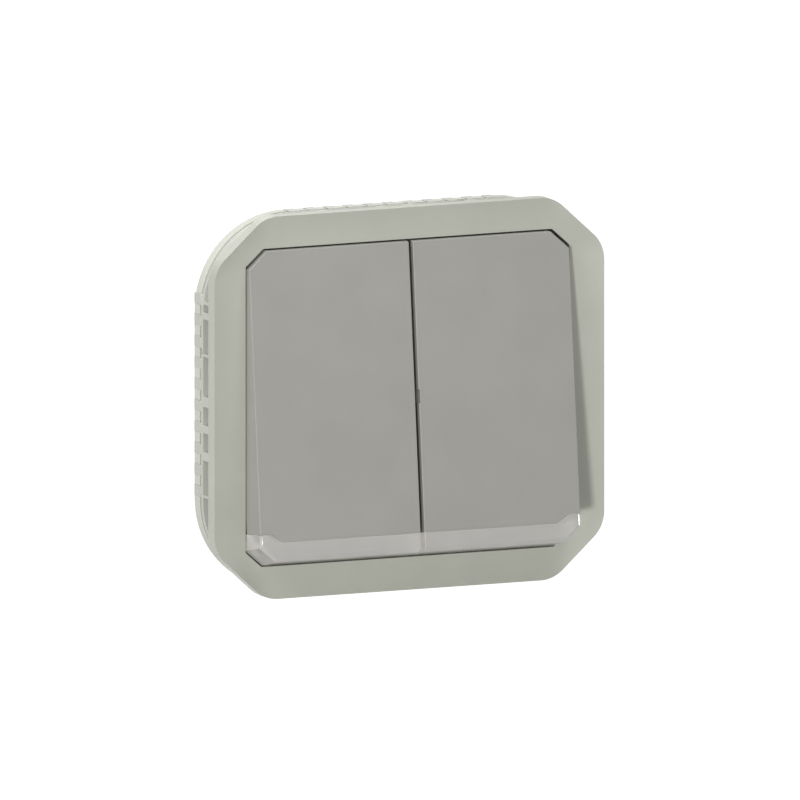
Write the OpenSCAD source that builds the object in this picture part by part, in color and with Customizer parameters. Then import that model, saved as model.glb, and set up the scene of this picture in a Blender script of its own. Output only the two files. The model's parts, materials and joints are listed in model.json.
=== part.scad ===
// Double rocker wall switch: a clip-in, weatherproof, two-gang mechanism.
// The front faces -Y, up is +Z, and Y = 0 is the plane in which the switch seats on its support.

/* [Front] */
// Width of the bezel
bezel_w = 66.5; // [64:0.5:70]
// Height of the bezel
bezel_h = 60.4; // [58:0.2:64]
// Thickness of the bezel plate
bezel_t = 2.35; // [2:0.05:2.6]
// Distance from the bezel's front face to the seating plane
front_depth = 8.8; // [8.6:0.1:9.4]
// Width of the window that the rockers stand in
window_w = 55.2; // [54.8:0.1:55.6]
// Height of the window
window_h = 50.2; // [50:0.1:50.6]

/* [Rockers] */
// Angle of the rockers either side of their middle position
rocker_tilt = 5.8; // [4:0.1:6]
// Width of the gap between the two rockers
rocker_gap = 0.68; // [0.5:0.02:0.9]
// Height of the clear strip at the rockers' lower end
lens_h = 2.95; // [2:0.05:4]
// Depth of a rocker's side wall
rocker_depth = 5.2; // [5:0.1:5.5]

/* [Mechanism] */
// Width of the mechanism housing
housing_w = 44.6; // [44:0.2:46]
// Height of the mechanism housing
housing_h = 38.6; // [38:0.2:40]
// Depth of the mechanism housing behind the seating plane
housing_d = 21; // [21:0.5:24]
// Distance of each gang's centre line from the middle of the switch
gang_x = 13.65; // [13.4:0.05:13.8]
// Angle of the contact seesaws either side of their middle position
seesaw_tilt = 7; // [5:0.5:7]

/* [Terminals] */
// Radius of a wire entry
wire_r = 1.6; // [1.4:0.05:1.7]
// Distance between the two wire entries of a terminal
wire_pitch = 4.4; // [4.2:0.1:4.6]
// Thickness of the brass conductor strips
strip_t = 0.8; // [0.6:0.1:1]

/* [Hidden] */
$fn = 48;
eps = 0.01;

LEFT = -1;
RIGHT = 1;
fit = 0.1; // gap between fixed pieces that slide together

// Planes along Y, from the front to the back
front_y = -front_depth;
plate_back_y = front_y + bezel_t;
window_front_y = plate_back_y + 0.45; // front edge of the ring's side windows
window_back_y = -3.25;                // rear edge of the ring's side windows
membrane_y = -2.4;
membrane_t = 0.8;
cover_y = membrane_y + membrane_t;
seal_y = -1.9;
strip_y = 11.2; // front face of the conductor strips
floor_y = strip_y + strip_t;
rear_wall_t = 2.5;
rear_y = housing_d;
chamber_back_y = rear_y - rear_wall_t;

// Bezel outline
corner_cx = 8.67; // corner chamfer along X
corner_cz = 7.93; // corner chamfer along Z
corner_blend = 5.5;
window_blend = 0.5;

// Ring
ring_inset = 0.5;
ring_w = bezel_w - 2 * ring_inset;
ring_h = bezel_h - 2 * ring_inset;
ring_r = 14.8;
ring_wall = 2;
bore_w = ring_w - 2 * ring_wall;
bore_h = ring_h - 2 * ring_wall;
bore_r = ring_r - ring_wall;
ledge = 1.5;
tenon = 1.3; // width of the seal round the ring's rear edge
groove = 0.7; // gap along Y between the ring's body and the seal
tooth_z = 1.68;
tooth_pitch = 3.37;
tooth_deep = 0.8;
tooth_proud = 0.1;
tooth_back_y = -0.15;

// Side windows of the ring, as [low Z, high Z, Z of a rib], and the bezel's latch tongues behind them
side_windows = [[15, 22.4, 16.4], [1.7, 13.85, 8.2], [-2.85, 0.05], [-7.05, -4.1], [-20.4, -8.45, -14.1]];
end_windows = [[-19.4, -13.6], [-11.8, -3.4], [-1.4, 1.4], [3.4, 11.8], [13.6, 19.4]];
tongues = [[15.05, 20.05], [6.85, 11.85], [-15.45, -10.45]];
hooks = [10.05, -12.25]; // middles of the latch hooks
hook_l = 2.8;
rim_inset = fit + 0.7; // from the ring's bore to the inside of the bezel's rim
window_rib = 0.45;
tongue_slot = 0.3;

// Rockers, drawn in the middle position and then tilted about their pins
pivot_y = front_y + 4;
rocker_front_y = pivot_y - 6.58;
rocker_back_y = rocker_front_y + rocker_depth;
lens_back_y = rocker_front_y + 6.2; // the clear strip reaches further back than the cap
rocker_half_h = 24.26;
end_draft = 8.2;
left_cap_x = [0.14, 27.42];              // the left cap's inner and outer edge, from the middle
right_cap_x = [rocker_gap - 0.14, 27.1]; // the right cap's
side_draft = 0.08; // how much wider the outer side is at its rear edge
rocker_skin = 1.6;
rocker_wall = 1.4;
lens_wall = 1.2;
lens_top = -rocker_half_h + lens_h;
lens_step = 1.35;
foot_turn = 48.4;   // how the clear strip's corner chamfer faces: down from straight sideways
foot_reach = 34.65; // its distance from the Y axis at the front
foot_draft = 5.1;

// Carrier, pin, plunger and spring
carrier_half_z = 13.2;
carrier_half_x = 7.6;
carrier_t = 1.35;
hub_r = 1.9;
pin_r = 0.9;
pin_clear = 0.05;
lug_r = 1.9;
lug_inner = 8;
lug_t = 1.8;
hub_half = lug_inner - 0.2;
tube_r = 3;
tube_end_y = 4;
tube_bore_r = 1.9;
tube_bore_y = -2.7;
plunger_r = 1.84;
plunger_front_y = 0.6;
plunger_tip_y = 6.74;
plunger_bore_r = 1.4;
plunger_bore_y = 4.1;
spring_coil_r = 1.08;
spring_wire_r = 0.2;
spring_turns = 7;

// Seesaw and contacts
seesaw_y = 9.1; // its fulcrum
seesaw_front_y = 7.1;
seesaw_t = 1;
seesaw_half_z = 8.6;
seesaw_half_x = 3.5;
fulcrum_r = 0.8;
fulcrum_clear = 0.05;
contact_z = 6.8;
contact_r = 1.5;
contact_stem_r = 0.8;
fixed_face_y = 9.98;
fixed_contact_r = 1.6;

// Terminals: X and Z of the middle between their two wire entries
upper_x = 14;
upper_z = 14;
common_x = 5.6;
common_z = 2.2;
plate_gap = 1.7; // from the wire's axis to the contact plate
chamber_half_x = 4.3;
chamber_low = -6.7;
plate_half_x = 3.9;
clamp_t = 0.4;
clamp_half_x = 3.7;
lever_low = -4.6;
lever_high = -2.4;
lever_half_x = 2.4;
lever_out = 0.8;
slot_clear = 0.15;

// Housing
housing_r = 3;
housing_wall = 1.45;
gang_wall = 1;
screw_x = 4.5;
screw_z = 12;
boss_r = 2.2;
boss_l = 3;
screw_r = 0.9;
screw_head_r = 1.75;
screw_head_t = 1.5;
lamp_z = -15.2;
lamp_r = 1.5;

bezel_grey = [0.69, 0.70, 0.65];
ring_grey = [0.78, 0.79, 0.75];
seal_grey = [0.76, 0.77, 0.72];
rocker_grey = [0.62, 0.61, 0.59];
mechanism_grey = [0.86, 0.86, 0.84];
brass = [0.80, 0.64, 0.30];
silver = [0.85, 0.86, 0.88];
steel = [0.60, 0.62, 0.65];
orange = [0.90, 0.45, 0.12];

// ---- Drawing helpers ----

// A flat shape in X and Z, pulled from y0 to y1
module slab(y0, y1) {
    translate([0, y1, 0])
        rotate([90, 0, 0])
            linear_extrude(height = y1 - y0)
                children();
}

// A flat shape in Y and Z, pulled from x0 to x1
module side_slab(x0, x1) {
    translate([x0, 0, 0])
        rotate([90, 0, 90])
            linear_extrude(height = x1 - x0)
                children();
}

module box(low, high) {
    translate(low)
        cube(high - low);
}

module y_rod(r, y0, y1) {
    translate([0, y0, 0])
        rotate([-90, 0, 0])
            cylinder(r = r, h = y1 - y0);
}

module x_rod(r, x0, x1) {
    translate([x0, 0, 0])
        rotate([0, 90, 0])
            cylinder(r = r, h = x1 - x0);
}

// A round rod between two points
module rod(a, b, r) {
    run = b - a;
    translate(a)
        rotate([0, acos(run.z / norm(run)), atan2(run.y, run.x)])
            cylinder(r = r, h = norm(run));
}

module round_rect(w, h, r) {
    square([w - 2 * r, h], center = true);
    square([w, h - 2 * r], center = true);
    for (sx = [-1, 1], sz = [-1, 1])
        translate([sx * (w / 2 - r), sz * (h / 2 - r)])
            circle(r = r);
}

function unit(v) = v / norm(v);

// Points of the arc of radius r that blends corner b of the outline a-b-c
function blend(a, b, c, r, n = 8) =
    let (
        u = unit(a - b),
        v = unit(c - b),
        half = acos(u * v) / 2,
        k = b + unit(u + v) * r / sin(half),
        p = b + u * r / tan(half) - k,
        q = b + v * r / tan(half) - k,
        start = atan2(p.y, p.x),
        sweep = (atan2(q.y, q.x) - start + 540) % 360 - 180
    )
    [for (i = [0:n]) k + r * [cos(start + sweep * i / n), sin(start + sweep * i / n)]];

module blended_polygon(points, r) {
    last = len(points) - 1;
    polygon([
        for (i = [0:last])
            each blend(points[i == 0 ? last : i - 1], points[i], points[i == last ? 0 : i + 1], r)
    ]);
}

// A rectangle with chamfered corners: cx, cz at the top and bx, bz at the bottom
module chamfered(w, h, cx, cz, bx, bz, r) {
    x = w / 2;
    z = h / 2;
    blended_polygon([
        [-x, z - cz], [-x + cx, z], [x - cx, z], [x, z - cz],
        [x, -z + bz], [x - bx, -z], [-x + bx, -z], [-x, -z + bz]
    ], r);
}

// Mirrors a right-hand piece to its side
module on_side(side) {
    mirror([side == LEFT ? 1 : 0, 0, 0])
        children();
}

// Turns a piece about a line along X
module turned(y, angle) {
    translate([0, y, 0])
        rotate([angle, 0, 0])
            translate([0, -y, 0])
                children();
}

module rocker_pose() {
    turned(pivot_y, -rocker_tilt)
        children();
}

module seesaw_pose() {
    turned(seesaw_y, seesaw_tilt)
        children();
}

// ---- Front pieces ----

module bezel_outline() {
    chamfered(bezel_w, bezel_h, corner_cx, corner_cz, corner_cx, corner_cz, corner_blend);
}

module window_outline() {
    chamfered(window_w, window_h, 3, 2.7, 2.7, 2.4, window_blend);
}

module rim_outline() {
    round_rect(bore_w - 2 * fit, bore_h - 2 * fit, bore_r - fit);
}

module front_bezel() {
    color(bezel_grey) {
        slab(front_y, plate_back_y)
            difference() {
                bezel_outline();
                window_outline();
            }
        difference() {
            slab(plate_back_y, membrane_y)
                difference() {
                    rim_outline();
                    round_rect(bore_w - 2 * rim_inset, bore_h - 2 * rim_inset, bore_r - rim_inset);
                }
            // openings that the clear strips' corners swing into
            for (side = [LEFT, RIGHT])
                on_side(side)
                    box([23, plate_back_y - 1, -bore_h / 2 - 1], [bore_w / 2 + 1, membrane_y + eps, -20.3]);
            for (side = [LEFT, RIGHT], t = tongues, z = t)
                on_side(side)
                    box([bore_w / 2 - 6, window_front_y, z - tongue_slot / 2],
                        [bore_w / 2 + 1, membrane_y + eps, z + tongue_slot / 2]);
        }
        for (side = [LEFT, RIGHT], z = hooks)
            on_side(side)
                latch_hook(z);
    }
}

// A hook on a latch tongue, caught behind the front edge of one of the ring's windows
module latch_hook(z) {
    hook_y = window_front_y + 0.05;
    root = bore_w / 2 - fit - 0.3;
    reach = bore_w / 2 + 0.6;
    translate([0, 0, z - hook_l / 2])
        linear_extrude(height = hook_l)
            polygon([[root, hook_y], [reach, hook_y], [reach, hook_y + 0.15], [root, hook_y + 0.8]]);
}

module clip_ring() {
    color(ring_grey)
        difference() {
            union() {
                slab(plate_back_y, seal_y - groove)
                    round_rect(ring_w, ring_h, ring_r);
                slab(seal_y - groove - eps, 0)
                    round_rect(ring_w - 2 * tenon, ring_h - 2 * tenon, ring_r - tenon);
                ring_teeth();
            }
            slab(plate_back_y - 1, -ledge / 2)
                round_rect(bore_w, bore_h, bore_r);
            slab(-ledge, 1)
                round_rect(bore_w - 2 * ledge, bore_h - 2 * ledge, bore_r - ledge);
            for (side = [LEFT, RIGHT], w = side_windows)
                on_side(side)
                    side_window(w);
            for (up = [0, 1], w = end_windows)
                mirror([0, 0, up])
                    box([w[0], window_front_y, bore_h / 2 - 1], [w[1], window_back_y, ring_h / 2 + 1]);
        }
}

// An opening in the ring's side wall, with a thin rib across it where a latch tongue lies behind
module side_window(w) {
    deep = bore_w / 2 - 4;
    difference() {
        box([deep, window_front_y, w[0]], [ring_w / 2 + 1, window_back_y, w[1]]);
        if (len(w) > 2)
            box([deep - 1, window_front_y - 1, w[2] - window_rib / 2],
                [ring_w / 2 + 2, window_back_y + 1, w[2] + window_rib / 2]);
    }
}

// Teeth of the ring that hold the seal, in a row along each straight side
module ring_teeth() {
    front = seal_y - groove - eps;
    for (side = [LEFT, RIGHT], i = [-4:5])
        on_side(side)
            box([ring_w / 2 - tooth_deep, front, i * tooth_pitch - tooth_z / 2],
                [ring_w / 2 + tooth_proud, tooth_back_y, i * tooth_pitch + tooth_z / 2]);
    for (up = [0, 1], i = [-5:5])
        mirror([0, 0, up])
            box([i * tooth_pitch - tooth_z / 2, front, ring_h / 2 - tooth_deep],
                [i * tooth_pitch + tooth_z / 2, tooth_back_y, ring_h / 2 + tooth_proud]);
}

module rim_seal() {
    color(seal_grey)
        difference() {
            slab(seal_y, 0)
                round_rect(ring_w, ring_h, ring_r);
            slab(seal_y - 1, 1)
                round_rect(ring_w - 2 * tenon, ring_h - 2 * tenon, ring_r - tenon);
            ring_teeth();
        }
}

// ---- Rockers ----

function cap_inner(side) = side == LEFT ? left_cap_x[0] : right_cap_x[0];
function cap_outer(side) = side == LEFT ? left_cap_x[1] : right_cap_x[1];

// Outline of a rocker as if on the right, seen from the front, reaching past its drafted ends
module rocker_outline(side, inset) {
    x0 = cap_inner(side) + inset - 0.1;
    x1 = cap_outer(side) - inset + side_draft;
    z1 = rocker_half_h - inset;
    past = 1;
    top = [3 + side_draft, 2.85];
    polygon([
        [x0, z1 + past],
        [x1 - top.x - past * top.x / top.y, z1 + past],
        [x1 + eps, z1 - top.y * (1 + side_draft / top.x) + side_draft],
        [x1 + eps, -z1 - past],
        [x0, -z1 - past]
    ]);
}

// A rocker's solid block: its outline, its drafted ends and its drafted sides in one
module drafted_block(side, inset, front, back) {
    x0 = cap_inner(side) + inset;
    x1 = cap_outer(side) - inset;
    z1 = rocker_half_h - inset;
    spread = (back - rocker_front_y) * tan(end_draft);
    intersection() {
        slab(front, back)
            rocker_outline(side, inset);
        side_slab(x0 - 1, x1 + 1)
            polygon([
                [rocker_front_y, z1], [back + eps, z1 + spread],
                [back + eps, -z1 - spread], [rocker_front_y, -z1]
            ]);
        translate([0, 0, -z1 - 2])
            linear_extrude(height = 2 * z1 + 4)
                polygon([
                    [x0, rocker_front_y], [x1, rocker_front_y],
                    [x1 + side_draft, back + eps], [x0 - 0.06, back + eps]
                ]);
    }
}

// The part of a rocker that is clear plastic: a strip that steps up round the outer corner
module lens_region(side, y0, y1) {
    outer = cap_outer(side);
    step_x = outer - 3.8;
    slab(y0, y1)
        polygon([
            [0, lens_top], [step_x, lens_top], [step_x + 1.9, lens_top + lens_step],
            [outer + 2, lens_top + lens_step], [outer + 2, -rocker_half_h - 3],
            [0, -rocker_half_h - 3]
        ]);
}

module rocker(side) {
    hook_z = carrier_half_z + 0.05;
    inner_y = rocker_front_y + rocker_skin;
    color(rocker_grey)
        rocker_pose()
            on_side(side) {
                difference() {
                    drafted_block(side, 0, rocker_front_y, rocker_back_y);
                    lens_region(side, rocker_front_y - 1, rocker_back_y + 1);
                    difference() {
                        drafted_block(side, rocker_wall, inner_y, rocker_back_y + eps);
                        translate([0, 0, lens_wall])
                            lens_region(side, inner_y - 1, rocker_back_y + 1);
                    }
                    // way through for the lens's light guide
                    box([gang_x - 2.05, inner_y, lens_top - 1],
                        [gang_x + 2.05, inner_y + 0.95, lens_top + lens_wall + 1]);
                    // small relief halfway up the inner edge
                    if (side == RIGHT)
                        box([0, rocker_front_y - 1, -1.1], [cap_inner(side) + 0.22, rocker_front_y + 1.2, 1.1]);
                }
                // hooks that grip the carrier's plate
                for (up = [0, 1], x = [-5, 5])
                    mirror([0, 0, up]) {
                        box([gang_x + x - 1.5, inner_y - 0.2, hook_z], [gang_x + x + 1.5, inner_y + 1.9, hook_z + 1]);
                        box([gang_x + x - 1.5, inner_y + 1.45, hook_z - 0.5],
                            [gang_x + x + 1.5, inner_y + 1.9, hook_z + 0.5]);
                    }
                // stiffening ribs
                for (x = [4.2, 23.1])
                    box([x - 0.4, inner_y - 0.2, -19], [x + 0.4, inner_y + 1.2, 22]);
            }
}

// What the drafted chamfer takes off the clear strip's outer corner
module foot_chamfer() {
    y0 = rocker_front_y - 1;
    y1 = lens_back_y + 1;
    x0 = foot_reach - tan(foot_draft);
    x1 = foot_reach + (y1 - rocker_front_y) * tan(foot_draft);
    rotate([0, foot_turn, 0])
        linear_extrude(height = 10)
            polygon([[x0, y0], [x1, y1], [x1 + 5, y1], [x0 + 5, y0]]);
}

module lens(side) {
    inner_y = rocker_front_y + rocker_skin;
    color([0.90, 0.90, 0.88, 0.6])
        rocker_pose()
            on_side(side) {
                difference() {
                    intersection() {
                        drafted_block(side, 0, rocker_front_y, lens_back_y);
                        lens_region(side, rocker_front_y - 1, lens_back_y + 1);
                    }
                    foot_chamfer();
                }
                // light guide with its pick-up foot over the lamp
                box([gang_x - 2, inner_y, lens_top - eps], [gang_x + 2, inner_y + 0.9, lamp_z]);
                box([gang_x - 2, inner_y, lamp_z - 0.6], [gang_x + 2, inner_y + 2, lamp_z + 0.6]);
            }
}

module carrier(side) {
    plate_y = rocker_front_y + rocker_skin;
    color(mechanism_grey)
        rocker_pose()
            on_side(side)
                translate([gang_x, 0, 0])
                    difference() {
                        union() {
                            box([-carrier_half_x, plate_y, -carrier_half_z],
                                [carrier_half_x, plate_y + carrier_t, carrier_half_z]);
                            box([-carrier_half_x, plate_y + carrier_t - eps, -1.2], [carrier_half_x, pivot_y, 1.2]);
                            for (x = [-6.4, 5.2])
                                carrier_gusset(x, plate_y + carrier_t);
                            translate([0, pivot_y, 0])
                                x_rod(hub_r, -hub_half, hub_half);
                            y_rod(tube_r, pivot_y, tube_end_y);
                        }
                        translate([0, pivot_y, 0])
                            x_rod(pin_r + pin_clear, -hub_half - 1, hub_half + 1);
                        y_rod(tube_bore_r, tube_bore_y, tube_end_y + 1);
                    }
}

module carrier_gusset(x, y) {
    side_slab(x, x + 1.2)
        polygon([[y - eps, -9], [y - eps, 9], [pivot_y, 1.7], [pivot_y, -1.7]]);
}

module pivot_pin(side) {
    reach = lug_inner + lug_t + 0.6;
    color(steel)
        on_side(side)
            translate([gang_x, pivot_y, 0])
                x_rod(pin_r, -reach, reach);
}

module plunger(side) {
    ball_y = plunger_tip_y - plunger_r;
    color([0.92, 0.92, 0.90])
        rocker_pose()
            on_side(side)
                translate([gang_x, 0, 0])
                    difference() {
                        union() {
                            y_rod(plunger_r, plunger_front_y, ball_y);
                            translate([0, ball_y, 0])
                                sphere(r = plunger_r);
                        }
                        y_rod(plunger_bore_r, plunger_front_y - 1, plunger_bore_y);
                    }
}

// Points of a ring of the coil wire at turn fraction s
function coil_ring(s, length, sides) =
    let (angle = 360 * spring_turns * s, out = [cos(angle), 0, sin(angle)])
    [for (j = [0:sides - 1])
        (spring_coil_r + spring_wire_r * cos(360 * j / sides)) * out
        + [0, spring_wire_r + (length - 2 * spring_wire_r) * s + spring_wire_r * sin(360 * j / sides), 0]];

module coil(length) {
    sides = 6;
    rings = spring_turns * 14;
    points = [for (i = [0:rings]) each coil_ring(i / rings, length, sides)];
    skin = [for (i = [0:rings - 1], j = [0:sides - 1])
        [i * sides + j, (i + 1) * sides + j, (i + 1) * sides + (j + 1) % sides, i * sides + (j + 1) % sides]];
    first = [for (j = [0:sides - 1]) j];
    last = [for (j = [sides - 1:-1:0]) rings * sides + j];
    polyhedron(points = points, faces = concat(skin, [first, last]));
}

module plunger_spring(side) {
    color(steel)
        rocker_pose()
            on_side(side)
                translate([gang_x, tube_bore_y, 0])
                    coil(plunger_bore_y - tube_bore_y);
}

// ---- Contacts ----

module seesaw(side) {
    back_y = seesaw_front_y + seesaw_t;
    color(brass)
        seesaw_pose()
            on_side(side)
                translate([gang_x, 0, 0])
                    difference() {
                        union() {
                            box([-seesaw_half_x, seesaw_front_y, -seesaw_half_z],
                                [seesaw_half_x, back_y, seesaw_half_z]);
                            box([-seesaw_half_x, back_y - eps, -1.8], [seesaw_half_x, seesaw_y, 1.8]);
                            // turned-up ends that stiffen the plate
                            for (z = [-seesaw_half_z, seesaw_half_z - 0.8])
                                box([-seesaw_half_x, seesaw_front_y - 0.7, z],
                                    [seesaw_half_x, seesaw_front_y + eps, z + 0.8]);
                        }
                        translate([0, seesaw_y, 0])
                            x_rod(fulcrum_r + fulcrum_clear, -seesaw_half_x - 1, seesaw_half_x + 1);
                        for (z = [-contact_z, contact_z])
                            translate([0, 0, z])
                                y_rod(contact_stem_r, seesaw_front_y - 2, back_y + 1);
                    }
}

// A domed contact rivet along Y: its head starts at y and bulges by dome towards +Y
module contact_head(r, y, body, dome) {
    ball_r = (r * r + dome * dome) / (2 * dome);
    translate([0, y, 0])
        rotate([-90, 0, 0])
            intersection() {
                cylinder(r = r, h = body + dome);
                translate([0, 0, body + dome - ball_r])
                    sphere(r = ball_r, $fn = 96);
            }
}

module moving_contacts(side) {
    back_y = seesaw_front_y + seesaw_t;
    color(silver)
        seesaw_pose()
            on_side(side)
                for (z = [-contact_z, contact_z])
                    translate([gang_x, 0, z]) {
                        contact_head(contact_r, back_y, 0.55, 0.35);
                        y_rod(contact_stem_r, seesaw_front_y - 0.1, back_y + eps);
                        y_rod(contact_stem_r + 0.15, seesaw_front_y - 0.4, seesaw_front_y);
                    }
}

module fixed_contacts(side) {
    color(silver)
        on_side(side)
            for (z = [-contact_z, contact_z])
                translate([gang_x, 0, z])
                    mirror([0, 1, 0])
                        contact_head(fixed_contact_r, -strip_y, strip_y - fixed_face_y - 0.35, 0.35);
}

// ---- Terminals, drawn about the middle between their two wire entries ----

module contact_plate() {
    box([-plate_half_x, floor_y - eps, plate_gap], [plate_half_x, chamber_back_y - 0.3, plate_gap + strip_t]);
}

module place_terminal(side, x, z, flip) {
    on_side(side)
        mirror([0, 0, flip])
            translate([x, 0, z])
                children();
}

module common_terminal(side) {
    color(brass)
        on_side(side) {
            box([common_x + plate_half_x - eps, strip_y, -2.6], [gang_x + seesaw_half_x - 0.2, floor_y, 2.6]);
            box([common_x - plate_half_x, strip_y, -2.6],
                [common_x + plate_half_x, floor_y, common_z + plate_gap + strip_t]);
            translate([common_x, 0, common_z])
                contact_plate();
            // arm that feeds the lamp
            box([7.3, strip_y, -13], [9.3, floor_y, -2.6 + eps]);
            // fulcrum of the seesaw
            box([gang_x - 3, seesaw_y, -0.5], [gang_x + 3, strip_y + eps, 0.5]);
            translate([gang_x, seesaw_y, 0])
                x_rod(fulcrum_r, -3, 3);
        }
}

// Upper terminal, or lower when flipped
module way_terminal(side, flip) {
    color(brass)
        on_side(side)
            mirror([0, 0, flip]) {
                box([upper_x - 3.4, strip_y, 4.9], [upper_x + 3.4, floor_y, upper_z + plate_gap + strip_t]);
                translate([upper_x, 0, upper_z])
                    contact_plate();
            }
}

// A bent strip along points in Y and Z, pulled along X
module bent_strip(points, t, half_x) {
    side_slab(-half_x, half_x)
        for (i = [0:len(points) - 2])
            let (a = points[i], b = points[i + 1]) {
                translate(a)
                    rotate(atan2(b.y - a.y, b.x - a.x))
                        translate([0, -t / 2])
                            square([norm(b - a), t]);
                translate(b)
                    circle(d = t, $fn = 24);
            }
}

clamp_root = [17.4, -5.9];
clamp_leg = [17.4, -5.2];
clamp_tip = [13.4, 1.1];

module clamp() {
    bent_strip([[12.8, -6.4], [17, -6.4], clamp_root, clamp_leg, clamp_tip], clamp_t, clamp_half_x);
}

// Y of the clamp's free leg at height z
function leg_y(z) = clamp_leg.x + (clamp_tip.x - clamp_leg.x) * (z - clamp_leg.y) / (clamp_tip.y - clamp_leg.y);

module lever() {
    tip_gap = 0.6;
    shoulder_y = chamber_back_y - 0.1;
    side_slab(-lever_half_x, lever_half_x)
        polygon([
            [leg_y(lever_low) + tip_gap, lever_low], [leg_y(lever_high) + tip_gap, lever_high],
            [rear_y + lever_out, lever_high], [rear_y + lever_out, lever_low]
        ]);
    // shoulders that keep it in the housing
    box([-lever_half_x - 0.7, shoulder_y - 0.5, lever_high - 1.2], [lever_half_x + 0.7, shoulder_y, lever_high]);
}

module common_clamp(side) {
    color(steel)
        place_terminal(side, common_x, common_z, 0)
            clamp();
}

module way_clamp(side, flip) {
    color(steel)
        place_terminal(side, upper_x, upper_z, flip)
            clamp();
}

module common_lever(side) {
    color(orange)
        place_terminal(side, common_x, common_z, 0)
            lever();
}

module way_lever(side, flip) {
    color(orange)
        place_terminal(side, upper_x, upper_z, flip)
            lever();
}

// A lamp with two stiff leads, one to the lower terminal and one to the common terminal's arm
module locator_lamp(side) {
    body_half = 2.3;
    body_back = 5;
    lead = 0.5;
    bend_y = 7;
    arm = [8.05, -12.5];
    tail = [gang_x - 1.5, lamp_z - lead / 2];
    dome_y = cover_y + lamp_r + 0.05;
    color([0.95, 0.95, 0.90])
        on_side(side) {
            translate([gang_x, 0, lamp_z]) {
                box([-body_half, eps, -body_half], [body_half, body_back, body_half]);
                y_rod(lamp_r, dome_y, 0.1);
                translate([0, dome_y, 0])
                    sphere(r = lamp_r);
            }
            box([gang_x + 1, body_back - eps, lamp_z + 0.5], [gang_x + 1 + lead, strip_y, lamp_z + 0.5 + lead]);
            box([tail.x, body_back - eps, tail.y], [tail.x + lead, bend_y, tail.y + lead]);
            box([arm.x, bend_y - lead, tail.y], [tail.x + eps, bend_y, tail.y + lead]);
            box([arm.x, bend_y - lead, tail.y], [arm.x + lead, bend_y, arm.y]);
            box([arm.x, bend_y - lead, arm.y - eps], [arm.x + lead, strip_y, arm.y + lead]);
        }
}

// ---- Mechanism cover, housing and membrane ----

module lug_outline() {
    translate([pivot_y, 0])
        circle(r = lug_r);
    translate([pivot_y, -lug_r])
        square([cover_y - pivot_y + eps, 2 * lug_r]);
}

module mechanism_cover() {
    color(mechanism_grey)
        difference() {
            union() {
                slab(cover_y, -ledge / 2)
                    rim_outline();
                slab(-ledge / 2 - eps, 0)
                    round_rect(bore_w - 2 * (ledge + fit), bore_h - 2 * (ledge + fit), bore_r - ledge - fit);
                for (side = [LEFT, RIGHT])
                    on_side(side) {
                        for (x = [gang_x - lug_inner - lug_t, gang_x + lug_inner])
                            side_slab(x, x + lug_t)
                                lug_outline();
                        for (z = [-screw_z, screw_z])
                            translate([screw_x, 0, z])
                                y_rod(boss_r, -0.1, boss_l);
                    }
            }
            for (side = [LEFT, RIGHT])
                on_side(side) {
                    translate([gang_x, pivot_y, 0])
                        x_rod(pin_r, -lug_inner - lug_t - 1, lug_inner + lug_t + 1);
                    translate([gang_x, 0, 0])
                        y_rod(tube_r + 0.7, cover_y - 1, 1);
                    translate([gang_x, 0, lamp_z])
                        y_rod(lamp_r + 0.1, cover_y - 1, 1);
                    for (z = [-screw_z, screw_z])
                        translate([screw_x, 0, z])
                            y_rod(screw_r, -0.9, boss_l + 1);
                }
        }
}

module weather_membrane() {
    color([0.82, 0.82, 0.80])
        difference() {
            union() {
                slab(membrane_y, cover_y)
                    rim_outline();
                // raised collars round the spring tubes
                for (side = [LEFT, RIGHT])
                    on_side(side)
                        translate([gang_x, 0, 0])
                            y_rod(tube_r + 1.2, membrane_y - 0.3, membrane_y + eps);
            }
            for (side = [LEFT, RIGHT])
                on_side(side) {
                    translate([gang_x, 0, 0])
                        y_rod(tube_r + 0.5, membrane_y - 1, cover_y + 1);
                    for (x = [gang_x - lug_inner - lug_t - 0.15, gang_x + lug_inner - 0.15])
                        box([x, membrane_y - 1, -lug_r - 0.15], [x + lug_t + 0.3, cover_y + 1, lug_r + 0.15]);
                }
        }
}

// The space in front of the housing's floor for one gang's contacts, less the posts for the screws
module gang_room() {
    room_x = housing_w / 2 - housing_wall;
    room_z = housing_h / 2 - housing_wall;
    difference() {
        box([gang_wall, -1, -room_z], [room_x, floor_y, room_z]);
        for (z = [-screw_z, screw_z])
            translate([screw_x, 0, z])
                y_rod(boss_r, boss_l, floor_y + 1);
    }
}

// Room for a terminal's clamp, its two wire entries and its lever's slot
module terminal_room() {
    box([-chamber_half_x, floor_y - eps, chamber_low],
        [chamber_half_x, chamber_back_y, plate_gap + strip_t]);
    for (x = [-wire_pitch / 2, wire_pitch / 2])
        translate([x, 0, 0])
            y_rod(wire_r, chamber_back_y - 1, rear_y + 1);
    box([-lever_half_x - slot_clear, chamber_back_y - 1, lever_low - slot_clear],
        [lever_half_x + slot_clear, rear_y + 1, lever_high + slot_clear]);
}

module housing() {
    color(mechanism_grey)
        difference() {
            slab(0, rear_y)
                round_rect(housing_w, housing_h, housing_r);
            for (side = [LEFT, RIGHT]) {
                on_side(side)
                    gang_room();
                place_terminal(side, common_x, common_z, 0)
                    terminal_room();
                for (flip = [0, 1])
                    place_terminal(side, upper_x, upper_z, flip)
                        terminal_room();
                for (z = [-screw_z, screw_z])
                    on_side(side)
                        translate([screw_x, 0, z]) {
                            y_rod(screw_r + 0.15, 0, rear_y + 1);
                            y_rod(screw_head_r + 0.15, rear_y - screw_head_t - 0.1, rear_y + 1);
                        }
            }
        }
}

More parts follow.
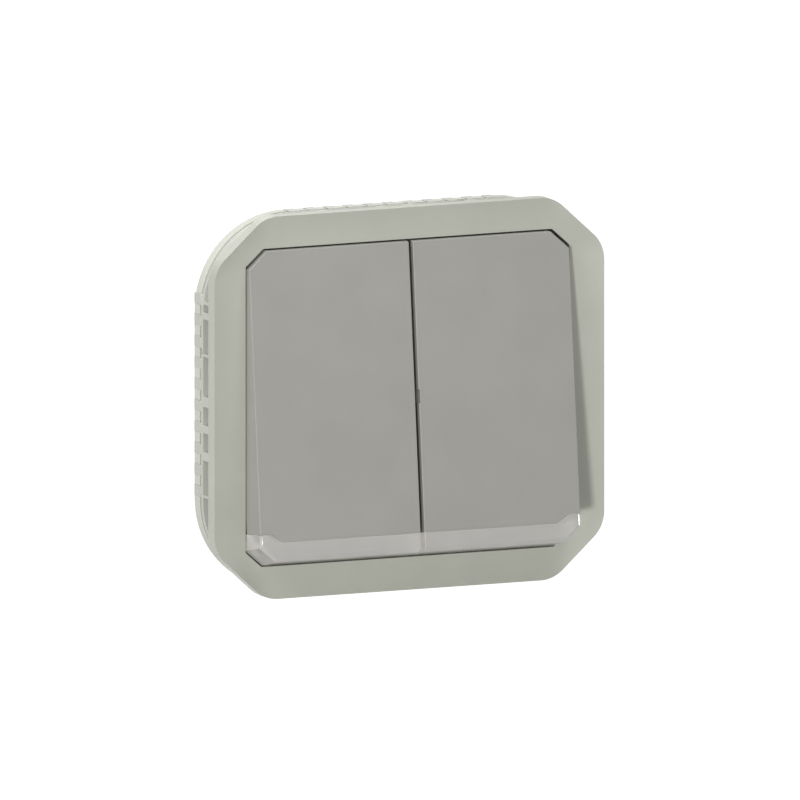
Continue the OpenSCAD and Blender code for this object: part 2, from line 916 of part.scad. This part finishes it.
module housing_screws() {
    head_y = rear_y - screw_head_t - 0.1;
    color(steel)
        for (side = [LEFT, RIGHT], z = [-screw_z, screw_z])
            on_side(side)
                translate([screw_x, 0, z])
                    difference() {
                        union() {
                            y_rod(screw_r, -0.7, head_y + eps);
                            y_rod(screw_head_r, head_y, rear_y - 0.1);
                        }
                        for (a = [0, 90])
                            rotate([0, a, 0])
                                box([-1.1, rear_y - 0.9, -0.22], [1.1, rear_y, 0.22]);
                    }
}

front_bezel();
clip_ring();
rim_seal();
weather_membrane();
mechanism_cover();
housing();
housing_screws();
rocker(LEFT);  // left_rocker
rocker(RIGHT);  // right_rocker
lens(LEFT);  // left_lens
lens(RIGHT);  // right_lens
carrier(LEFT);  // left_carrier
carrier(RIGHT);  // right_carrier
pivot_pin(LEFT);  // left_pivot_pin
pivot_pin(RIGHT);  // right_pivot_pin
plunger(LEFT);  // left_plunger
plunger(RIGHT);  // right_plunger
plunger_spring(LEFT);  // left_plunger_spring
plunger_spring(RIGHT);  // right_plunger_spring
seesaw(LEFT);  // left_seesaw
seesaw(RIGHT);  // right_seesaw
moving_contacts(LEFT);  // left_moving_contacts
moving_contacts(RIGHT);  // right_moving_contacts
fixed_contacts(LEFT);  // left_fixed_contacts
fixed_contacts(RIGHT);  // right_fixed_contacts
common_terminal(LEFT);  // left_common_terminal
common_terminal(RIGHT);  // right_common_terminal
way_terminal(LEFT, 0);  // left_upper_terminal
way_terminal(RIGHT, 0);  // right_upper_terminal
way_terminal(LEFT, 1);  // left_lower_terminal
way_terminal(RIGHT, 1);  // right_lower_terminal
common_clamp(LEFT);  // left_common_clamp
common_clamp(RIGHT);  // right_common_clamp
way_clamp(LEFT, 0);  // left_upper_clamp
way_clamp(RIGHT, 0);  // right_upper_clamp
way_clamp(LEFT, 1);  // left_lower_clamp
way_clamp(RIGHT, 1);  // right_lower_clamp
common_lever(LEFT);  // left_common_lever
common_lever(RIGHT);  // right_common_lever
way_lever(LEFT, 0);  // left_upper_lever
way_lever(RIGHT, 0);  // right_upper_lever
way_lever(LEFT, 1);  // left_lower_lever
way_lever(RIGHT, 1);  // right_lower_lever
locator_lamp(LEFT);  // left_locator_lamp
locator_lamp(RIGHT);  // right_locator_lamp
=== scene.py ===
import bpy
import bmesh
import json
import math
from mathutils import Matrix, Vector


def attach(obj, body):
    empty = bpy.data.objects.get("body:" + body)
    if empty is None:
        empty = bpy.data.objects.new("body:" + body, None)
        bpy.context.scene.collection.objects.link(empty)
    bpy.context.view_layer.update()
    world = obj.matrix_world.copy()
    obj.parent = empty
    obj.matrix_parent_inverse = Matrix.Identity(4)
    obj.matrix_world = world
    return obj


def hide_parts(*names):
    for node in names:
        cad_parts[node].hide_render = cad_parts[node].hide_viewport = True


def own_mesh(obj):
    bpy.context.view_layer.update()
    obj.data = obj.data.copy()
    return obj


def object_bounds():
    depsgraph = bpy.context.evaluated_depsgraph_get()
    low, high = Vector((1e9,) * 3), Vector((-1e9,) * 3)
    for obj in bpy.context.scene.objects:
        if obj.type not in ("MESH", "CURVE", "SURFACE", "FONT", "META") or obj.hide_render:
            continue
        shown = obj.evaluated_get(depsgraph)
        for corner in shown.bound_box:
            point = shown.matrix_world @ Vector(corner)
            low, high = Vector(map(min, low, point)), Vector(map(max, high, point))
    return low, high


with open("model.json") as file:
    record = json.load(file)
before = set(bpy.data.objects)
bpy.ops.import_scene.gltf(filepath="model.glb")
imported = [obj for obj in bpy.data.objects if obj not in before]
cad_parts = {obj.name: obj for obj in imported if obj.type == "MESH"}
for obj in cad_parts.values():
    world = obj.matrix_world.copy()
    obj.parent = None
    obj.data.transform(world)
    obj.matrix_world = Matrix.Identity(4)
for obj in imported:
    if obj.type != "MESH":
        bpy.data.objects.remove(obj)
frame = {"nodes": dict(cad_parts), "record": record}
cad_low, cad_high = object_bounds()

MM = 0.001
SIDES = {"left": -1, "right": 1}


# ---- Materials ----

def srgb(red, green, blue):
    """A colour given as screen values of 0 to 255, as the linear colour that shaders take."""
    def linear(value):
        value /= 255
        return value / 12.92 if value <= 0.04045 else ((value + 0.055) / 1.055) ** 2.4
    return (linear(red), linear(green), linear(blue), 1)


class Shader:
    """A node material under construction: its tree, its surface shader and short ways to add nodes."""

    def __init__(self, name, roughness, **sockets):
        self.material = bpy.data.materials.new(name)
        self.material.use_nodes = True
        self.tree = self.material.node_tree
        self.surface = self.tree.nodes["Principled BSDF"]
        self.surface.inputs["Roughness"].default_value = roughness
        for socket, value in sockets.items():
            self.surface.inputs[socket.replace("_", " ")].default_value = value
        self.place = self.add("ShaderNodeTexCoord").outputs["Object"]

    def add(self, kind):
        return self.tree.nodes.new(kind)

    def link(self, output, socket):
        self.tree.links.new(output, socket)

    def noise(self, size, detail=2, roughness=0.5):
        """Noise whose features are about size metres across."""
        node = self.add("ShaderNodeTexNoise")
        node.inputs["Scale"].default_value = 1 / size
        node.inputs["Detail"].default_value = detail
        node.inputs["Roughness"].default_value = roughness
        self.link(self.place, node.inputs["Vector"])
        return node.outputs["Fac"]

    def ramp(self, value, low, high):
        """Blends two colours over the middle stretch of value."""
        node = self.add("ShaderNodeValToRGB")
        for end, position, colour in zip(node.color_ramp.elements, (0.3, 0.7), (low, high)):
            end.position = position
            end.color = colour
        self.link(value, node.inputs["Fac"])
        return node.outputs["Color"]

    def spread(self, value, low, high):
        """Maps 0 to 1 onto low to high."""
        node = self.add("ShaderNodeMapRange")
        node.inputs["To Min"].default_value = low
        node.inputs["To Max"].default_value = high
        self.link(value, node.inputs["Value"])
        return node.outputs["Result"]

    def bump(self, height, depth):
        """A normal for a surface with bumps of up to depth metres."""
        node = self.add("ShaderNodeBump")
        node.inputs["Distance"].default_value = depth
        node.inputs["Strength"].default_value = 1
        self.link(height, node.inputs["Height"])
        return node.outputs["Normal"]


def shade(colour, factor):
    """A colour made darker or lighter by a factor."""
    return tuple(channel * factor for channel in colour[:3]) + (1,)


def moulded(name, colour, roughness):
    """Moulded plastic or rubber: faint flow mottling, a fine spark-eroded grain and uneven gloss."""
    mottle = 0.03
    grain = 0.25 * MM
    grain_depth = 0.004 * MM
    uneven = 0.06
    shader = Shader(name, roughness)
    surface = shader.surface.inputs
    cloud = shader.noise(9 * MM, 3)
    tint = shader.ramp(cloud, shade(colour, 1 - mottle), shade(colour, 1 + mottle))
    shader.link(tint, surface["Base Color"])
    fine = shader.noise(grain, 2, 0.6)
    shader.link(shader.spread(fine, roughness - uneven, roughness + uneven), surface["Roughness"])
    shader.link(shader.bump(fine, grain_depth), surface["Normal"])
    return shader.material


def metal(name, colour, roughness):
    """Drawn or pressed metal with fine streaks."""
    streak = 0.15 * MM
    streak_depth = 0.002 * MM
    shader = Shader(name, roughness, Metallic=1)
    surface = shader.surface.inputs
    stretch = shader.add("ShaderNodeMapping")
    stretch.inputs["Scale"].default_value = (1, 0.12, 1)
    shader.link(shader.place, stretch.inputs["Vector"])
    shader.place = stretch.outputs["Vector"]
    fine = shader.noise(streak, 3, 0.6)
    shader.link(shader.ramp(fine, shade(colour, 0.86), colour), surface["Base Color"])
    shader.link(shader.spread(fine, roughness - 0.08, roughness + 0.1), surface["Roughness"])
    shader.link(shader.bump(fine, streak_depth), surface["Normal"])
    return shader.material


def clear_plastic(name, colour):
    """Slightly frosted clear plastic, with faint clouds in its tint and its gloss."""
    roughness = 0.14
    uneven = 0.04
    grain = 0.5 * MM
    grain_depth = 0.003 * MM
    shader = Shader(name, roughness, IOR=1.49, Transmission_Weight=0.5)
    surface = shader.surface.inputs
    cloud = shader.noise(5 * MM)
    shader.link(shader.ramp(cloud, shade(colour, 0.97), colour), surface["Base Color"])
    fine = shader.noise(grain)
    shader.link(shader.spread(fine, roughness - uneven, roughness + uneven), surface["Roughness"])
    shader.link(shader.bump(fine, grain_depth), surface["Normal"])
    return shader.material


MATERIALS = {
    "bezel": moulded("bezel plastic", srgb(172, 174, 163), 0.5),
    "ring": moulded("ring plastic", srgb(178, 179, 171), 0.5),
    "seal": moulded("seal rubber", srgb(190, 192, 182), 0.65),
    "rocker": moulded("rocker plastic", srgb(148, 147, 142), 0.5),
    "mechanism": moulded("mechanism plastic", srgb(206, 206, 200), 0.45),
    "membrane": moulded("membrane rubber", srgb(64, 65, 66), 0.7),
    "acetal": moulded("acetal", srgb(232, 232, 226), 0.35),
    "lever": moulded("lever plastic", srgb(226, 118, 38), 0.4),
    "lamp": moulded("lamp body", srgb(238, 236, 226), 0.3),
    "lens": clear_plastic("lens plastic", srgb(208, 206, 202)),
    "steel": metal("spring steel", srgb(190, 192, 196), 0.32),
    "brass": metal("brass", srgb(214, 178, 96), 0.3),
    "silver": metal("contact silver", srgb(226, 226, 228), 0.25),
}


# ---- Pieces ----

SHARP = math.radians(28)  # edges sharper than this are rounded, and shaded as edges
FLAT = math.radians(0.4)
ROUNDED = "bevel_weight_edge"  # the mesh layer that marks the only edges to round
STEP = 0.012 * MM  # vertices this close are merged
FINE_STEP = 0.0005 * MM


def cleaned(node):
    """A copy of a CAD node's mesh with its flat faces whole again and any reshaping done."""
    mesh = frame["nodes"][node].data.copy()
    form = bmesh.new()
    form.from_mesh(mesh)
    bmesh.ops.remove_doubles(form, verts=form.verts, dist=FINE_STEP if node == "clip_ring" else STEP)
    bmesh.ops.dissolve_limit(form, angle_limit=FLAT, verts=form.verts, edges=form.edges)
    if node in RESHAPE:
        RESHAPE[node](form)
    form.to_mesh(mesh)
    form.free()
    mesh.materials.clear()
    for polygon in mesh.polygons:
        polygon.use_smooth = True
    mesh.set_sharp_from_angle(angle=SHARP)
    return mesh


def soften(piece, width):
    """Rounds a piece's sharp edges, or only the marked ones if it has marks, and evens its shading."""
    edge = piece.modifiers.new("edge", "BEVEL")
    edge.width = width
    edge.segments = 3
    edge.limit_method = "WEIGHT" if ROUNDED in piece.data.attributes else "ANGLE"
    edge.angle_limit = SHARP
    edge.miter_outer = "MITER_ARC"
    edge.use_clamp_overlap = True
    even = piece.modifiers.new("even", "WEIGHTED_NORMAL")
    even.keep_sharp = True
    even.weight = 50


def ring_of(edges):
    """The vertices along one closed run of edges, in order."""
    after = {}
    for edge in edges:
        first, second = edge.verts
        after.setdefault(first, []).append(second)
        after.setdefault(second, []).append(first)
    start = next(iter(after))
    run, previous, here = [start], start, after[start][0]
    while here != start:
        run.append(here)
        step = after[here]
        previous, here = here, step[0] if step[1] == previous else step[1]
    return run


def mark(form, wanted):
    """Marks the sharp edges that wanted accepts, as the only ones to round."""
    rounded = form.edges.layers.float.new(ROUNDED)
    for edge in form.edges:
        edge[rounded] = float(wanted(edge) and edge.calc_face_angle(0) > SHARP)


def dish(form):
    """Sinks the bezel's flat front into a shallow dish, deepest along the window."""
    depth = 0.65 * MM
    steps = 7
    plate = 3 * MM
    outer_x = 28.5 * MM  # the plate's outer rim lies beyond these, and the window's rim within them
    outer_z = 26.2 * MM
    front = min(vertex.co.y for vertex in form.verts)
    flat = [face for face in form.faces if all(vertex.co.y < front + 0.01 * MM for vertex in face.verts)]
    bmesh.ops.delete(form, geom=flat, context="FACES_ONLY")
    loose = [edge for edge in form.edges if edge.is_boundary]
    outer = [edge for edge in loose if max(abs(vertex.co.x) for vertex in edge.verts) > outer_x
             or max(abs(vertex.co.z) for vertex in edge.verts) > outer_z]
    inner = [edge for edge in loose if edge not in outer]

    def sorted_ring(edges):
        """The ring's vertices, from the rightmost and highest one round in one fixed sense."""
        run = ring_of(edges)
        start = max(range(len(run)), key=lambda i: (round(run[i].co.x, 5), run[i].co.z))
        run = run[start:] + run[:start]
        area = sum(a.co.x * b.co.z - b.co.x * a.co.z for a, b in zip(run, run[1:] + run[:1]))
        return run if area > 0 else [run[0]] + run[:0:-1]

    rims = [sorted_ring(outer), sorted_ring(inner)]
    for vertex in rims[1]:
        vertex.co.y += depth
    rings = [rims[0]]
    for step in range(1, steps):
        share = step / steps
        sink = depth * (1 - (1 - share) ** 2)
        rings.append([form.verts.new((a.co.x + (b.co.x - a.co.x) * share, front + sink,
                                      a.co.z + (b.co.z - a.co.z) * share)) for a, b in zip(*rims)])
    rings.append(rims[1])
    count = len(rims[0])
    for low, high in zip(rings, rings[1:]):
        for i in range(count):
            form.faces.new((low[i], high[i], high[(i + 1) % count], low[(i + 1) % count]))
    bmesh.ops.recalc_face_normals(form, faces=form.faces)

    # The rim behind the plate is too thin to be rounded
    mark(form, lambda edge: max(vertex.co.y for vertex in edge.verts) < front + plate)


def eased(form):
    """Cuts a bevel along the lower and outer front edges of a clear strip."""
    def front_edges(wanted):
        front = max(form.faces, key=lambda face: -face.normal.y * face.calc_area())
        return [edge for edge in front.edges
                for face in edge.link_faces if face is not front and wanted(edge, face)]

    def at_foot(edge, face):
        return face.normal.z < -0.4

    def at_outer_side(edge, face):
        return abs(face.normal.x) > 0.9 and abs(edge.verts[0].co.x) > 20 * MM

    for wanted, width in ((at_foot, 0.6 * MM), (at_outer_side, 0.35 * MM)):
        bmesh.ops.bevel(form, geom=front_edges(wanted), offset=width, segments=1, affect="EDGES",
                        clamp_overlap=True)
        form.normal_update()


def split(form):
    """Cuts faces with openings and notches into convex ones, so that rounding can't fold them."""
    bmesh.ops.connect_verts_concave(form, faces=form.faces)


def toothed(form):
    """Splits the clip ring's faces. Edges that meet the tiny step at a tooth's root will stay sharp."""
    step = 0.05 * MM

    def clear_of_steps(edge):
        return all(other.calc_length() > step for vertex in edge.verts for other in vertex.link_edges)

    split(form)
    mark(form, clear_of_steps)


RESHAPE = {"front_bezel": dish, "clip_ring": toothed, "left_rocker": split, "right_rocker": split,
           "left_lens": eased, "right_lens": eased}


def dressed(node, body, width):
    """A finished piece in place of a CAD node: the same shape, with rounded edges and its material."""
    piece = bpy.data.objects.new(node + "_skin", cleaned(node))
    bpy.context.scene.collection.objects.link(piece)
    if width:
        soften(piece, width)
    material_slot = slots[node]
    piece.data.materials.append(MATERIALS[material_slot])
    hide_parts(node)
    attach(piece, body)
    return piece


slots = {part["node"]: part["material_slot"] for part in frame["record"]["subparts"]}
body_of = {node: body for body, nodes in frame["record"]["behaviour"]["bodies"].items() for node in nodes}

# How wide each piece's edges are rounded, in mm; 0 leaves a piece's edges as they are
EDGES = {"front_bezel": 0.25, "clip_ring": 0.15, "rim_seal": 0.18, "weather_membrane": 0.15,
         "mechanism_cover": 0.12, "housing": 0.3, "housing_screws": 0.08}
SIDE_EDGES = {"rocker": 0.1, "lens": 0.1, "carrier": 0.12, "pivot_pin": 0.12, "plunger": 0.1,
              "seesaw": 0.08, "moving_contacts": 0.06, "fixed_contacts": 0.06, "common_terminal": 0.08,
              "upper_terminal": 0.08, "lower_terminal": 0.08, "common_clamp": 0.05, "upper_clamp": 0.05,
              "lower_clamp": 0.05, "common_lever": 0.15, "upper_lever": 0.15, "lower_lever": 0.15,
              "locator_lamp": 0.0, "plunger_spring": 0.0}
for side in SIDES:
    EDGES.update({f"{side}_{name}": width for name, width in SIDE_EDGES.items()})

pieces = {node: dressed(node, body_of[node], width * MM) for node, width in EDGES.items()}

# The clear strips let the light through, so they cast no shadow
for side in SIDES:
    pieces[f"{side}_lens"].visible_shadow = False

# The springs and clamps each get a mesh of their own, not shared with other pieces
for side, sign in SIDES.items():
    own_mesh(pieces[f"{side}_plunger_spring"])
    for way in ("common", "upper", "lower"):
        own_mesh(pieces[f"{side}_{way}_clamp"])


# ---- Floor, light and camera ----

def floor(drop):
    """A wide pale floor, drop metres below the object, that glows but is hidden from diffuse light."""
    mesh = bpy.data.meshes.new("floor")
    reach = 6
    form = bmesh.new()
    bmesh.ops.create_grid(form, x_segments=1, y_segments=1, size=reach)
    form.to_mesh(mesh)
    form.free()
    plane = bpy.data.objects.new("floor", mesh)
    plane.location.z = cad_low.z - drop
    bpy.context.scene.collection.objects.link(plane)
    white = (1, 1, 1, 1)
    shader = Shader("floor", 0.9, Emission_Color=white, Emission_Strength=0.75)
    cloud = shader.noise(0.4)
    tint = shader.ramp(cloud, shade(white, 0.93), shade(white, 0.95))
    shader.link(tint, shader.surface.inputs["Base Color"])
    plane.data.materials.append(shader.material)
    plane.visible_diffuse = False


def area_light(name, place, size, power):
    """A round soft light that points at the middle of the frame."""
    lamp = bpy.data.lights.new(name, "AREA")
    lamp.shape = "DISK"
    lamp.size = size
    lamp.energy = power
    holder = bpy.data.objects.new(name, lamp)
    holder.location = place
    holder.rotation_euler = (-Vector(place)).to_track_quat("-Z", "Y").to_euler()
    bpy.context.scene.collection.objects.link(holder)


def world_light(strength):
    """Even white light from all round."""
    world = bpy.data.worlds.new("studio")
    world.use_nodes = True
    background = world.node_tree.nodes["Background"]
    background.inputs["Color"].default_value = (1, 1, 1, 1)
    background.inputs["Strength"].default_value = strength
    bpy.context.scene.world = world


def camera(azimuth, elevation, across, aim):
    """An orthographic camera: across metres wide, looking at aim from angles given in degrees."""
    distance = 0.5
    turn, lift = math.radians(azimuth), math.radians(elevation)
    back = Vector((math.sin(turn) * math.cos(lift), -math.cos(turn) * math.cos(lift), math.sin(lift)))
    data = bpy.data.cameras.new("camera")
    data.type = "ORTHO"
    data.ortho_scale = across
    data.clip_start = 0.01
    data.clip_end = 20
    holder = bpy.data.objects.new("camera", data)
    holder.location = aim + back * distance
    holder.rotation_mode = "QUATERNION"
    holder.rotation_quaternion = (-back).to_track_quat("-Z", "Y")
    bpy.context.scene.collection.objects.link(holder)
    bpy.context.scene.camera = holder


floor(0.22)
world_light(0.38)
area_light("key", (-0.54, -0.63, 0), size=0.14, power=4.2)
area_light("top", (0.05, -0.12, 0.4), size=0.16, power=0.9)
area_light("upper_left", (-0.36, -0.04, 0.4), size=0.2, power=1.3)
area_light("rim", (0.7, 0.3, -0.12), size=0.2, power=1.2)
area_light("back", (0.12, 0.8, 0.15), size=0.4, power=2.5)
camera(azimuth=-23.9, elevation=9.1, across=124.7 * MM, aim=Vector((-1.35, -8.24, -0.23)) * MM)

bpy.context.scene.view_settings.view_transform = "Standard"
